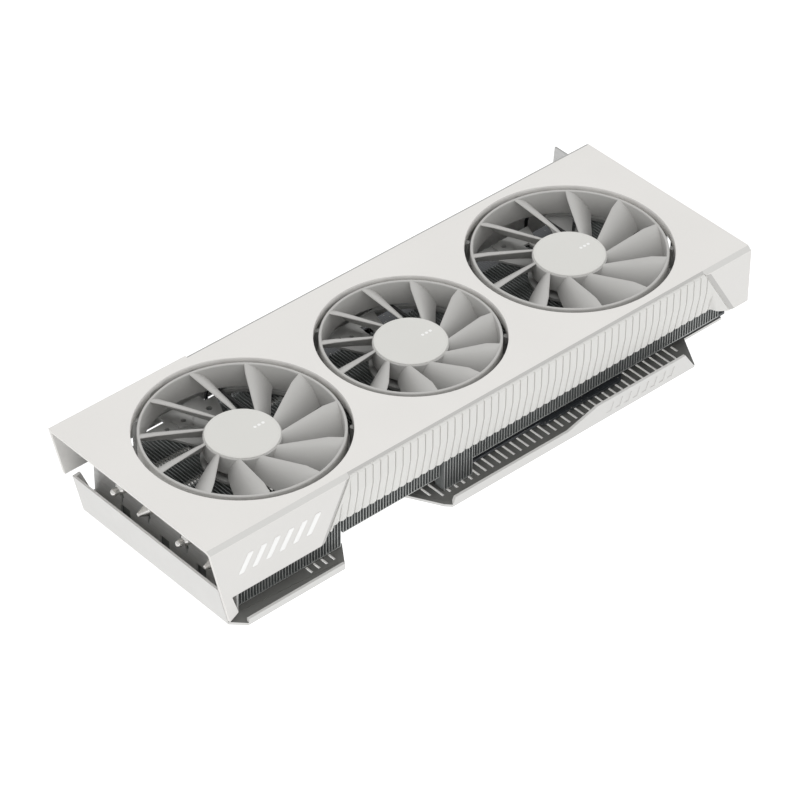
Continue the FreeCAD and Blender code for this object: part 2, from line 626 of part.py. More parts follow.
def blade_section(r, angle, z_top, z_bottom, chord, t):
    """Closed cambered section in the plane square to the radius at this angle."""
    a = math.radians(angle)
    radial = V(math.cos(a), math.sin(a), 0)
    along = V(-math.sin(a), math.cos(a), 0)

    def at(s, z):
        return radial * r + along * s + V(0, 0, z)

    z_mid = z_bottom + (z_top - z_bottom) * 0.75
    line = [(0.0, z_top), (-chord * 0.48, z_mid), (-chord, z_bottom)]
    upper = [at(s, z) for s, z in line]
    lower = [at(s + t * 0.5, z - t * 0.85) for s, z in reversed(line)]
    lower[0] = at(-chord + t, z_bottom)
    points = upper + lower
    return Part.makePolygon(points + points[:1])


def make_blade(ring_r):
    z0 = Z_RING[0] + 1.0
    kink_r = ring_r * 0.825
    sections = [blade_section(17.9, ROOT_ANGLE - 0.9, 46.9, z0, 5.2, 1.1),
                blade_section(kink_r, KINK_ANGLE, 50.8, z0, 12.0, 1.0),
                blade_section(ring_r - 0.5, TIP_ANGLE, 50.7, z0, 13.5, 0.9)]
    blade = Part.makeLoft(sections, True, True)
    return blade.common(cyl(0, 0, 20, 60, ring_r - 0.7))


def make_rotor(x, ring_r):
    z0, z1 = Z_HUB
    hub = tube(0, 0, z0, z1 - 1.0, 17.6, HUB_R).fuse(cyl(0, 0, z1 - 1.0, z1, HUB_R))
    boss = tube(0, 0, 43.8, z1 - 0.9, SHAFT_R, 3.4)
    ring = tube(0, 0, Z_RING[0], Z_RING[1], ring_r - RING_T, ring_r)
    blade = make_blade(ring_r)
    blades = []
    for i in range(BLADES):
        copy = blade.copy()
        copy.rotate(V(0, 0, 0), V(0, 0, 1), 360.0 / BLADES * i)
        blades.append(copy)
    rotor = hub.multiFuse([boss, ring] + blades)
    rotor.translate(V(x, 0, 0))
    return rotor


def make_hub_cap(x):
    z = Z_HUB[1]
    cap = cyl(x, 0, z, z + 0.7, 18.4)
    rim = tube(x, 0, z + 0.5, z + 0.8, 17.4, 18.1)
    return cap.fuse(rim)


# Far arm of each motor base, measured from the fan's axis: first and last angle,
# round holes (x, y, r), radial slots (angle, r from, r to, width) and screw bosses (x, y).
# The tab (x from, x to, y to) widens the arm towards the shroud's far wall.
MOUNT_ARMS = [
    {"span": (66, 118), "holes": [(11.0, 38.5, 1.6), (-14.5, 39.5, 1.2)], "slots": [],
     "bosses": [(-5.0, 38.6)], "tab": (-11.7, 13.3, 49.5)},
    {"span": (72, 118), "holes": [(-16.2, 36.2, 2.6)], "slots": [(86, 25.0, 38.0, 4.6)],
     "bosses": [(-8.6, 34.0)], "tab": None},
    {"span": (44, 118), "holes": [(-17.0, 38.5, 2.2)],
     "slots": [(67, 24.0, 50.0, 10.0), (86, 26.0, 34.0, 3.4)], "bosses": [(-8.6, 38.8)], "tab": None},
]
STRUT_ANGLES = (38, -33, -118)
POST_ANGLES = STRUT_ANGLES + (125, 165)
Z_BASE = (31.9, 33.6)
BASE_R = 20.5
Y_ARM_FAR = 44.6        # straight far edge of the arms


def polar(r, angle):
    a = math.radians(angle)
    return r * math.cos(a), r * math.sin(a)


def make_mount(x, hole_r, arm):
    """Motor base with a bearing tube, carried by three struts and a wide far arm."""
    z0, z1 = Z_BASE
    reach = hole_r - 0.1
    parts = [cyl(0, 0, z0, z1, BASE_R), tube(0, 0, z1 - 0.1, 43.0, 3.0, 4.3)]
    for angle in STRUT_ANGLES:
        strut = box(15, reach, -2.5, 2.5, z0, z1)
        strut.rotate(V(0, 0, 0), V(0, 0, 1), angle)
        parts.append(strut)
    first, last = arm["span"]
    steps = [first + (last - first) * k / 10.0 for k in range(11)]
    sector = prism_z([(0.0, 0.0)] + [polar(reach, a) for a in steps], z0, z1 - 0.4)
    sector = sector.common(box(-hole_r, hole_r, 0, Y_ARM_FAR, z0, z1))
    if arm["tab"]:
        x_from, x_to, y_to = arm["tab"]
        sector = fuse([sector, box(x_from, x_to, Y_ARM_FAR - 1, y_to, z0, z1 - 0.4)])
    sector = cut_all(sector, [cyl(hx, hy, z0 - 1, z1 + 1, r) for hx, hy, r in arm["holes"]])
    for angle, r_from, r_to, width in arm["slots"]:
        slot = box(r_from, r_to, -width / 2, width / 2, z0 - 1, z1 + 1)
        slot.rotate(V(0, 0, 0), V(0, 0, 1), angle)
        sector = sector.cut(slot)
    body = fuse(parts + [sector])
    rim = tube(0, 0, z0, z1, hole_r - 2.4, reach)
    body = fuse([body, rim.common(box(-hole_r, hole_r, -hole_r, Y_ARM_FAR, z0, z1))])
    posts = []
    for angle in POST_ANGLES:
        px, py = polar(reach, angle)
        posts.append(cyl(px, py, z0, Z_COLLAR, 1.6))
    lugs = []
    for bx, by in arm["bosses"]:
        star = [(bx + r * math.cos(k * math.pi / 5), by + r * math.sin(k * math.pi / 5))
                for k, r in zip(range(10), (6.0, 4.4) * 5)]
        lugs.append(prism_z(star, z1 - 0.5, z1 + 0.7))
    body = fuse([body] + posts + lugs)
    body = cut_all(body, [cyl(bx, by, z0 - 1, z1 + 2, 1.3) for bx, by in arm["bosses"]])
    body.translate(V(x, 0, 0))
    return body


def make_bearing(x):
    return tube(x, 0, 34.4, 43.4, SHAFT_R + 0.05, 3.0)


def make_shaft(x):
    return cyl(x, 0, 34.5, Z_HUB[1] - 1.0, SHAFT_R)


def make_magnet(x):
    return tube(x, 0, 38.0, 45.0, 15.6, 17.6)


def make_stator(x):
    arms = [tube(0, 0, 36.6, 42.4, 4.3, 6.6), tube(0, 0, 36.6, 42.4, 13.2, 14.8)]
    for k in range(6):
        arm = box(6.0, 13.8, -1.5, 1.5, 36.6, 42.4)
        arm.rotate(V(0, 0, 0), V(0, 0, 1), 60 * k)
        arms.append(arm)
    core = fuse(arms)
    gaps = []
    for k in range(6):
        gap = box(12.0, 16.0, -0.8, 0.8, 30, 50)
        gap.rotate(V(0, 0, 0), V(0, 0, 1), 60 * k + 30)
        gaps.append(gap)
    core = cut_all(core, gaps)
    core.translate(V(x, 0, 0))
    return core


def make_windings(x):
    coils = []
    for k in range(6):
        coil = box(7.4, 12.8, -2.6, 2.6, 35.6, 43.2).cut(box(7.0, 13.5, -1.55, 1.55, 36.5, 42.5))
        coil.rotate(V(0, 0, 0), V(0, 0, 1), 60 * k)
        coil.translate(V(x, 0, 0))
        coils.append(coil)
    return Part.makeCompound(coils)


def rounded_path(points, largest):
    """Straight runs joined by tangent arcs, each as large as its runs allow."""
    edges = []
    at = points[0]
    for before, corner, after in zip(points, points[1:], points[2:]):
        u = (corner - before).normalize()
        w = (after - corner).normalize()
        half = u.getAngle(w) / 2
        trim = 0.45 * min(corner.distanceToPoint(before), corner.distanceToPoint(after))
        trim = min(trim, largest * math.tan(half))
        first, last = corner - u * trim, corner + w * trim
        to_centre = (w - u).normalize()
        radius = trim / math.tan(half)
        mid = corner + to_centre * (radius / math.cos(half) - radius)
        edges += [Part.LineSegment(at, first).toShape(), Part.Arc(first, mid, last).toShape()]
        at = last
    edges.append(Part.LineSegment(at, points[-1]).toShape())
    return Part.Wire(edges)


def make_cable(x):
    """Fan lead: over the motor base, across the fins and down to its header."""
    z_run = 34.55
    x_run = x + CABLE_X
    points = [V(x + 13.0, 6.0, z_run), V(x_run, 22.0, z_run), V(x_run, HEADER_Y, z_run),
              V(x_run, HEADER_Y, Z_PCB[1] + 1.3)]
    path = rounded_path(points, 10.0)
    ring = Part.Wire(Part.makeCircle(0.9, points[0], points[1] - points[0]))
    return path.makePipeShell([ring], True, False)


def make_shroud_screws():
    screws = []
    for x, y in shroud_boss_places():
        z = Z_FIN_TOP + 5.0
        screws.append(cyl(x, y, z - 1.6, z, 2.7).fuse(cyl(x, y, z, z + 7.0, 1.15)))
    return Part.makeCompound(screws)


def main():
    os.makedirs(PARTS, exist_ok=True)
    save("fan_shroud", make_shroud())
    save("side_panel_ribbed", make_side_panel())
    save("backplate", make_backplate())
    save("backplate_film", make_film())
    save("backplate_screws", make_back_screws())
    save("pcb", make_pcb())
    save("pcie_contacts", make_contacts())
    save("gpu_substrate", make_substrate())
    save("gpu_die", make_die())
    save("memory_chips", make_memory())
    save("vrm_inductors", make_inductors())
    save("vrm_mosfets", make_mosfets())
    save("capacitors", make_capacitors())
    save("thermal_pads", make_pads())
    save("fan_headers", make_headers())
    for i, x in enumerate(SOCKET_X):
        save("power_socket_%d" % (i + 1), make_power_socket(x))
    save("power_pins", make_power_pins())
    save("heat_pipes", make_heat_pipes())
    for name, stack in make_fins(pipe_holes()).items():
        save(name, stack)
    save("fin_end_plate", make_end_plate())
    save("cold_plate", make_cold_plate())
    save("gpu_clamp", make_clamp())
    save("clamp_screws", make_clamp_screws())
    save("io_bracket", make_bracket())
    save("bracket_screws", make_bracket_screws())
    save("displayport_sockets", Part.makeCompound([make_port(y, 8.5, 0.8, 6.4) for y in DP_Y]))
    save("hdmi_socket", make_port(HDMI_Y, 7.7, 1.4, 5.6))
    save("shroud_screws", make_shroud_screws())
    for i, (x, ring_r, hole_r, arm) in enumerate(zip(FAN_X, FAN_RADIUS, HOLE_RADIUS, MOUNT_ARMS)):
        name = "fan_%d_" % (i + 1)
        save(name + "rotor", make_rotor(x, ring_r))
        save(name + "hub_cap", make_hub_cap(x))
        save(name + "magnet", make_magnet(x))
        save(name + "shaft", make_shaft(x))
        save(name + "mount", make_mount(x, hole_r, arm))
        save(name + "bearing", make_bearing(x))
        save(name + "stator", make_stator(x))
        save(name + "windings", make_windings(x))
        save(name + "cable", make_cable(x))


main()
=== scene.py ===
"""Looks of the triple-fan graphics card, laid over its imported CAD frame. Metres throughout."""

import json
import math

import bmesh
import bpy
from mathutils import Matrix, Vector


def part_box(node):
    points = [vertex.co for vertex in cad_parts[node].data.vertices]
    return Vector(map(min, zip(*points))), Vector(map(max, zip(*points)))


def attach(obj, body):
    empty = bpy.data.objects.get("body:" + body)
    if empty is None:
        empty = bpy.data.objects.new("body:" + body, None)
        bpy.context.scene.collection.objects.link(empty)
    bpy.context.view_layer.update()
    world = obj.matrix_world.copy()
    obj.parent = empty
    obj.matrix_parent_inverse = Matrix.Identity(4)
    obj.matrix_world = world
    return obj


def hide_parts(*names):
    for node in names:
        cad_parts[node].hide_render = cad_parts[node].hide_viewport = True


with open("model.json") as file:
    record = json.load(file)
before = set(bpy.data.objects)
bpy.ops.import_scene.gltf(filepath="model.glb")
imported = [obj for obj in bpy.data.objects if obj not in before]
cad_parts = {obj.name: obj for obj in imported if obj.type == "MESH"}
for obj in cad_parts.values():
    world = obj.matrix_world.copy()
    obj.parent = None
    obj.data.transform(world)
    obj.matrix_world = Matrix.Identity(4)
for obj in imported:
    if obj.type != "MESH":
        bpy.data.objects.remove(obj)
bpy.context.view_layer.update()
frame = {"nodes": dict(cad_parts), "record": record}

MM = 0.001
NODES = frame["nodes"]


# --- mesh helpers --------------------------------------------------------
def new_piece(name, verts, faces, body, stands_for, finish, sharp=32.0, weld=True):
    """A mesh piece given in millimetres, riding on a CAD body in place of some CAD nodes."""
    mesh = bpy.data.meshes.new(name)
    mesh.from_pydata([Vector(v) * MM for v in verts], [], faces)
    bm = bmesh.new()
    bm.from_mesh(mesh)
    if weld:
        bmesh.ops.remove_doubles(bm, verts=bm.verts, dist=1e-6)
    bmesh.ops.recalc_face_normals(bm, faces=bm.faces)
    bm.to_mesh(mesh)
    bm.free()
    mesh.polygons.foreach_set("use_smooth", [True] * len(mesh.polygons))
    mesh.set_sharp_from_angle(angle=math.radians(sharp))
    piece = bpy.data.objects.new(name, mesh)
    bpy.context.scene.collection.objects.link(piece)
    mesh.materials.append(FINISHES[finish])
    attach(piece, body)
    if stands_for:
        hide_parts(*stands_for)
    return piece


class Shape:
    """Vertices and faces gathered from several closed surfaces."""

    def __init__(self):
        self.verts = []
        self.faces = []

    def grid(self, rows, close_rows=False, close_columns=False, cap_ends=False):
        """Quads over a list of equally long point rows."""
        start = len(self.verts)
        wide = len(rows[0])
        for row in rows:
            self.verts += row
        last_row = len(rows) if close_rows else len(rows) - 1
        last_column = wide if close_columns else wide - 1
        for i in range(last_row):
            for j in range(last_column):
                a = start + i * wide + j
                b = start + i * wide + (j + 1) % wide
                c = start + ((i + 1) % len(rows)) * wide + (j + 1) % wide
                d = start + ((i + 1) % len(rows)) * wide + j
                self.faces.append((a, b, c, d))
        if cap_ends:
            end = start + (len(rows) - 1) * wide
            self.faces.append(tuple(start + j for j in range(wide)))
            self.faces.append(tuple(end + j for j in reversed(range(wide))))

    def lathe(self, profile, centre, steps):
        """Turn a closed (radius, z) profile round a vertical axis."""
        rows = []
        for k in range(steps):
            a = 2 * math.pi * k / steps
            rows.append([(centre[0] + r * math.cos(a), centre[1] + r * math.sin(a), z) for r, z in profile])
        self.grid(rows, close_rows=True, close_columns=True)


def rounded(corners, segments=4):
    """Closed profile with a fillet at each (u, v, radius) corner."""
    points = []
    count = len(corners)
    for i, (u, v, radius) in enumerate(corners):
        here = Vector((u, v))
        if radius == 0:
            points.append((u, v))
            continue
        before = (Vector(corners[i - 1][:2]) - here).normalized()
        after = (Vector(corners[(i + 1) % count][:2]) - here).normalized()
        half = before.angle(after) / 2
        reach = radius / math.tan(half)
        middle = here + (before + after).normalized() * (radius / math.sin(half))
        first = here + before * reach - middle
        last = here + after * reach - middle
        for k in range(segments + 1):
            mix = k / segments
            turn = first.lerp(last, mix).normalized() * radius
            points.append(tuple(middle + turn))
    return points


# --- procedural finishes -------------------------------------------------
class Nodes:
    """Short-hand for building one material's node tree."""

    def __init__(self, name):
        self.material = bpy.data.materials.new(name)
        self.material.use_nodes = True
        self.tree = self.material.node_tree
        self.shader = self.tree.nodes["Principled BSDF"]
        self.coords = self.add("ShaderNodeTexCoord")

    def add(self, kind, **settings):
        node = self.tree.nodes.new(kind)
        for key, value in settings.items():
            if key in node.inputs:
                node.inputs[key].default_value = value
            else:
                setattr(node, key, value)
        return node

    def link(self, a, b):
        self.tree.links.new(a, b)

    def place(self, scale=(1.0, 1.0, 1.0)):
        """Object coordinates, stretched by a scale per axis."""
        mapping = self.add("ShaderNodeMapping", Scale=scale)
        self.link(self.coords.outputs["Object"], mapping.inputs["Vector"])
        return mapping.outputs["Vector"]

    def noise(self, scale, detail=3.0, stretch=(1.0, 1.0, 1.0)):
        node = self.add("ShaderNodeTexNoise", Scale=scale, Detail=detail)
        self.link(self.place(stretch), node.inputs["Vector"])
        return node.outputs["Fac"]

    def remap(self, value, low, high):
        """Spread a 0.3..0.7 noise value over low..high."""
        node = self.add("ShaderNodeMapRange")
        node.inputs["From Min"].default_value = 0.3
        node.inputs["From Max"].default_value = 0.7
        node.inputs["To Min"].default_value = low
        node.inputs["To Max"].default_value = high
        self.link(value, node.inputs["Value"])
        return node.outputs["Result"]

    def blend(self, factor, a, b, mode="MIX"):
        node = self.add("ShaderNodeMix", data_type="RGBA", blend_type=mode)
        for socket, value in ((node.inputs[0], factor), (node.inputs[6], a), (node.inputs[7], b)):
            if isinstance(value, bpy.types.NodeSocket):
                self.link(value, socket)
            elif isinstance(value, tuple):
                socket.default_value = (*value, 1.0)
            else:
                socket.default_value = value
        return node.outputs[2]

    def bump(self, height, strength, distance):
        node = self.add("ShaderNodeBump", Strength=strength, Distance=distance)
        self.link(height, node.inputs["Height"])
        self.link(node.outputs["Normal"], self.shader.inputs["Normal"])

    def facing(self, direction, start, full):
        """0..1 mask of the faces whose own normal points along a direction."""
        dot = self.add("ShaderNodeVectorMath", operation="DOT_PRODUCT")
        self.link(self.coords.outputs["Normal"], dot.inputs[0])
        dot.inputs[1].default_value = direction
        mask = self.add("ShaderNodeMapRange", interpolation_type="SMOOTHSTEP")
        mask.inputs["From Min"].default_value = start
        mask.inputs["From Max"].default_value = full
        self.link(dot.outputs["Value"], mask.inputs["Value"])
        return mask.outputs["Result"]

    def within(self, axis, low, high):
        """1 where a coordinate, in metres, lies between two values."""
        parts = self.add("ShaderNodeSeparateXYZ")
        self.link(self.coords.outputs["Object"], parts.inputs[0])
        compare = self.add("ShaderNodeMath", operation="COMPARE")
        self.link(parts.outputs[axis], compare.inputs[0])
        compare.inputs[1].default_value = (low + high) / 2
        compare.inputs[2].default_value = (high - low) / 2
        return compare.outputs[0]

    def both(self, a, b):
        node = self.add("ShaderNodeMath", operation="MULTIPLY")
        self.link(a, node.inputs[0])
        self.link(b, node.inputs[1])
        return node.outputs[0]

    def tone(self, colour, spread, scale, detail=4.0, stretch=(1.0, 1.0, 1.0)):
        """Base colour that drifts lighter and darker by spread over the surface."""
        dark = tuple(c * (1 - spread) for c in colour)
        light = tuple(min(1.0, c * (1 + spread)) for c in colour)
        return self.blend(self.remap(self.noise(scale, detail, stretch), 0.0, 1.0), dark, light)


def painted(name, colour, rough=0.5, speckle=0.03, painted_shade_faces=(), inside=None):
    """Powder coat or satin paint: fine pebbled bump, faint mottling.

    The chamfer entries are (normal, tightness, shade, x range) of faces that get painted shade, a darker
    colour standing in for the light they catch less; inside is (height, shade) for the upward faces below
    that height.
    """
    n = Nodes(name)
    base = n.tone(colour, speckle, 24.0)
    fine = n.noise(2600.0, 2.0)
    base = n.blend(n.remap(fine, 0.0, 0.10), base, tuple(c * 0.86 for c in colour))
    # Painted shade: faces along each direction, inside an x range, take a darker colour.
    for direction, tightness, shade, (x_from, x_to) in painted_shade_faces:
        mask = n.facing(direction, tightness, (1 + 2 * tightness) / 3)
        base = n.blend(n.both(mask, n.within("X", x_from, x_to)), base, shade)
    if inside:
        height, shade = inside
        floor = n.both(n.within("Z", -height, height), n.facing((0.0, 0.0, 1.0), 0.8, 0.95))
        base = n.blend(floor, base, shade)
    n.link(base, n.shader.inputs["Base Color"])
    n.link(n.remap(n.noise(90.0), rough - 0.07, rough + 0.09), n.shader.inputs["Roughness"])
    n.shader.inputs["Specular IOR Level"].default_value = 0.35
    n.bump(fine, 0.20, 0.00004)
    return n.material


def moulded(name, colour, rough=0.45, spread=0.03, grain=1800.0, depth=0.00003, specular=0.4):
    """Moulded plastic: soft flow marks, spark-eroded grain and uneven gloss."""
    n = Nodes(name)
    flow = n.tone(colour, spread, 30.0, 5.0)
    fine = n.noise(grain, 3.0)
    base = n.blend(n.remap(fine, 0.0, 0.14), flow, tuple(c * 0.82 for c in colour))
    n.link(base, n.shader.inputs["Base Color"])
    n.link(n.remap(n.noise(140.0), rough - 0.08, rough + 0.10), n.shader.inputs["Roughness"])
    n.shader.inputs["Specular IOR Level"].default_value = specular
    n.bump(fine, 0.18, depth)
    return n.material


def metal(name, colour, rough=0.3, stretch=(1.0, 1.0, 1.0), scratch=900.0, spread=0.10, metallic=1.0,
          depth=0.00002, edge_highlight=None):
    """Drawn, rolled or plated metal with brush lines along the unstretched axis.

    The optional brighter colour is a painted highlight on the faces that point to the ribbed side (-Y).
    """
    n = Nodes(name)
    lines = n.noise(scratch, 4.0, stretch)
    drift = n.tone(colour, spread, 45.0)
    base = n.blend(n.remap(lines, 0.0, 0.35), drift, tuple(c * 0.72 for c in colour))
    # Painted highlight: faces pointing -Y take the brighter colour.
    if edge_highlight:
        base = n.blend(n.facing((0.0, -1.0, 0.0), 0.7, 0.9), base, edge_highlight)
    n.link(base, n.shader.inputs["Base Color"])
    n.link(n.remap(lines, rough - 0.08, rough + 0.12), n.shader.inputs["Roughness"])
    n.shader.inputs["Metallic"].default_value = metallic
    n.bump(lines, 0.25, depth)
    return n.material


def board(name, mask, copper):
    """Solder mask over traces: a lattice of fine tracks, vias and a slight mottling."""
    n = Nodes(name)
    tracks = n.add("ShaderNodeTexBrick", Scale=1.0, offset=0.5, squash=0.7)
    tracks.inputs["Brick Width"].default_value = 0.0052
    tracks.inputs["Row Height"].default_value = 0.0011
    tracks.inputs["Mortar Size"].default_value = 0.00011
    n.link(n.place(), tracks.inputs["Vector"])
    vias = n.add("ShaderNodeTexVoronoi", Scale=420.0)
    n.link(n.place(), vias.inputs["Vector"])
    dots = n.add("ShaderNodeMapRange")
    dots.inputs["From Min"].default_value = 0.13
    dots.inputs["From Max"].default_value = 0.10
    n.link(vias.outputs["Distance"], dots.inputs["Value"])
    base = n.blend(tracks.outputs["Fac"], n.tone(mask, 0.12, 60.0), copper)
    base = n.blend(dots.outputs["Result"], base, (0.40, 0.38, 0.33))
    n.link(base, n.shader.inputs["Base Color"])
    n.link(n.remap(n.noise(300.0), 0.28, 0.42), n.shader.inputs["Roughness"])
    n.bump(tracks.outputs["Fac"], 0.3, 0.00003)
    return n.material


def make_finishes():
    """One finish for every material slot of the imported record, and one for the fin end plate."""
    side = (12.0, 1.0, 1.0)
    # Painted shade: darker colours for the bevels, panel frame, jambs, far top edge and near wall, in place
    # of light
    bevel_shade = (0.66, 0.655, 0.635)
    frame_shade = (0.52, 0.515, 0.50)
    far_edge_shade = (0.36, 0.36, 0.35)
    wall_shade = (0.735, 0.725, 0.705)
    everywhere = (-1.0, 1.0)
    panel_span = (-0.0915, 0.1430)
    near_bevel, far_bevel, near_wall = (0.0, -0.625, 0.781), (0.0, 0.498, 0.867), (0.0, -1.0, 0.0)
    head_jamb, tail_jamb = (0.228, -0.968, -0.107), (-0.227, -0.964, -0.138)
    # each entry paints shade on the faces whose normal points along its direction
    painted_shade_faces = [(near_bevel, 0.95, bevel_shade, everywhere),
                (near_bevel, 0.95, frame_shade, panel_span),
                (head_jamb, 0.99, frame_shade, everywhere),
                (tail_jamb, 0.99, frame_shade, everywhere),
                (far_bevel, 0.95, far_edge_shade, everywhere),
                (near_wall, 0.99, wall_shade, everywhere)]
    tray_grey = (0.190, 0.190, 0.181)
    return {
        "shroud_white": painted("shroud_white", (0.800, 0.785, 0.760), 0.52, 0.012, painted_shade_faces),
        "panel_white": painted("panel_white", (0.718, 0.713, 0.690), 0.50, 0.012),
        "backplate_white": painted("backplate_white", (0.695, 0.690, 0.675), 0.50, 0.015,
                                   inside=(0.0018, tray_grey)),
        "insulating_film": moulded("insulating_film", (0.178, 0.178, 0.169), 0.42, 0.06, 700.0),
        "board_white": board("board_white", (0.045, 0.050, 0.056), (0.085, 0.090, 0.098)),
        "gold_contacts": metal("gold_contacts", (0.83, 0.61, 0.25), 0.24, (1.0, 0.1, 1.0), 1500.0),
        "chip_black": moulded("chip_black", (0.020, 0.020, 0.022), 0.55, 0.2, 2600.0),
        "die_silicon": metal("die_silicon", (0.16, 0.17, 0.20), 0.12, scratch=300.0, metallic=0.6),
        "package_green": board("package_green", (0.030, 0.085, 0.045), (0.050, 0.120, 0.065)),
        "inductor_grey": moulded("inductor_grey", (0.095, 0.097, 0.100), 0.6, 0.15, 2200.0, 0.00006),
        "capacitor_can": metal("capacitor_can", (0.66, 0.67, 0.69), 0.26, (1.0, 1.0, 0.1)),
        "thermal_pad": moulded("thermal_pad", (0.36, 0.40, 0.46), 0.75, 0.08, 1200.0, 0.00008),
        "nickel": metal("nickel", (0.74, 0.73, 0.71), 0.20, (0.08, 1.0, 1.0), 1400.0, 0.05),
        # the fin edges facing -Y carry a painted highlight
        "fin_dark": metal("fin_dark", (0.285, 0.300, 0.298), 0.42, (1.0, 1.0, 0.06), 1600.0, 0.10, 0.30,
                          edge_highlight=(0.46, 0.47, 0.46)),
        "bracket_steel": metal("bracket_steel", (0.47, 0.47, 0.465), 0.36, (1.0, 0.05, 1.0), 1800.0, 0.05),
        "screw_steel": metal("screw_steel", (0.52, 0.52, 0.51), 0.28, scratch=1500.0),
        "shell_steel": metal("shell_steel", (0.60, 0.60, 0.59), 0.30, side, 1100.0),
        "connector_black": moulded("connector_black", (0.022, 0.022, 0.023), 0.5, 0.15, 2000.0),
        "rotor_white": moulded("rotor_white", (0.512, 0.506, 0.490), 0.42, 0.012, 2400.0, 0.00002),
        "cap_white": moulded("cap_white", (0.715, 0.710, 0.680), 0.46, 0.010, 2600.0, 0.00002),
        "mark_white": painted("mark_white", (0.93, 0.93, 0.92), 0.35, 0.01),
        "mount_grey": moulded("mount_grey", (0.40, 0.40, 0.39), 0.5, 0.03, 2000.0),
        "magnet_black": moulded("magnet_black", (0.045, 0.043, 0.042), 0.6, 0.15, 1600.0, 0.00006),
        "shaft_steel": metal("shaft_steel", (0.60, 0.60, 0.60), 0.16, (1.0, 1.0, 12.0)),
        "bearing_bronze": metal("bearing_bronze", (0.50, 0.33, 0.17), 0.35, scratch=2200.0),
        "core_steel": metal("core_steel", (0.34, 0.34, 0.35), 0.4, (0.1, 0.1, 14.0), 1200.0),
        "winding_copper": metal("winding_copper", (0.72, 0.30, 0.14), 0.28, (1.0, 1.0, 10.0), 900.0),
        "end_plate_grey": metal("end_plate_grey", (0.63, 0.63, 0.62), 0.45, (1.0, 0.08, 1.0), 1500.0, 0.05,
                                metallic=0.3),
        "cable_black": moulded("cable_black", (0.030, 0.030, 0.031), 0.55, 0.15, 900.0, 0.00008),
    }


FINISHES = make_finishes()


def dress_cad_nodes():
    """Give every CAD node the finish of its slot."""
    for part in frame["record"]["subparts"]:
        node = NODES[part["node"]]
        node.data.materials.clear()
        node.data.materials.append(FINISHES[part["material_slot"]])
    NODES["fin_end_plate"].data.materials[0] = FINISHES["end_plate_grey"]


def soften_edges(names, width, angle=35.0):
    """Break the sharp edges of sheet and moulded parts."""
    for name in names:
        node = NODES[name]
        weld = node.modifiers.new("weld", "WELD")
        weld.merge_threshold = 1e-6
        flat = node.modifiers.new("flat", "DECIMATE")
        flat.decimate_type = "DISSOLVE"
        flat.angle_limit = math.radians(0.4)
        edge = node.modifiers.new("edge", "BEVEL")
        edge.width = width * MM
        edge.segments = 2
        edge.limit_method = "ANGLE"
        edge.angle_limit = math.radians(angle)
        edge.use_clamp_overlap = False
        edge.harden_normals = True
        edge.miter_outer = "MITER_ARC"


# --- fans ----------------------------------------------------------------
BLADES = 11
# a blade's top edge runs from the hub over a kink to the ring, at these angles about the axis
ROOT_ANGLE, KINK_ANGLE, TIP_ANGLE = -3.2, 15.0, 16.2
ROOT_CHORD, KINK_CHORD, TIP_CHORD = 5.6, 12.0, 13.5
ROOT_R, KINK_SHARE, TIP_INSET = 17.9, 0.825, 0.8
Z_BLADE_ROOT, BLADE_RISE, Z_BLADE_LIMIT = 46.7, 3.65, 50.85
BLADE_THICK, BLADE_THINNING = 1.05, 0.1
BLADE_POINTS, BLADE_CREST, BLADE_CAMBER = 9, 0.48, 0.75
RING_WALL, HUB_R, HUB_WALL, Z_HUB_TOP = 1.5, 19.0, 1.4, 47.0
SHAFT_BORE_R, Z_SHAFT_FOOT = 1.5, 43.8


def quadratic(values, t, m):
    """Value at t in 0..1 of the parabola through three values at 0, m and 1."""
    a, b, c = values
    return a * (t - m) * (t - 1) / m + b * t * (t - 1) / (m * (m - 1)) + c * t * (t - m) / (1 - m)


def on_circle(r, degrees):
    return Vector((r * math.cos(math.radians(degrees)), r * math.sin(math.radians(degrees))))


def blade_spans(ring_r):
    """Plan points of the top and lower edges, with top height and thickness, from hub to ring."""
    kink_r, tip_r = KINK_SHARE * ring_r, ring_r - TIP_INSET
    stations = ((ROOT_R, ROOT_ANGLE, ROOT_CHORD), (kink_r, KINK_ANGLE, KINK_CHORD),
                (tip_r, TIP_ANGLE, TIP_CHORD))
    root, kink, tip = [on_circle(r, angle) for r, angle, _ in stations]
    lows = [angle - math.degrees(chord / r) for r, angle, chord in stations]
    middle = (kink_r - ROOT_R) / (tip_r - ROOT_R)
    steps = [middle * k / 10 for k in range(11)] + [middle + (1 - middle) * k / 4 for k in range(1, 5)]
    spans = []
    for u in steps:
        inner = min(1.0, u / middle)
        outer = max(0.0, (u - middle) / (1 - middle))
        top = root.lerp(kink, inner) if outer == 0 else kink.lerp(tip, outer)
        r = ROOT_R + (tip_r - ROOT_R) * u
        low = on_circle(r, quadratic(lows, u, middle))
        spans.append((top, low, Z_BLADE_ROOT + BLADE_RISE * inner, BLADE_THICK - BLADE_THINNING * inner))
    return spans


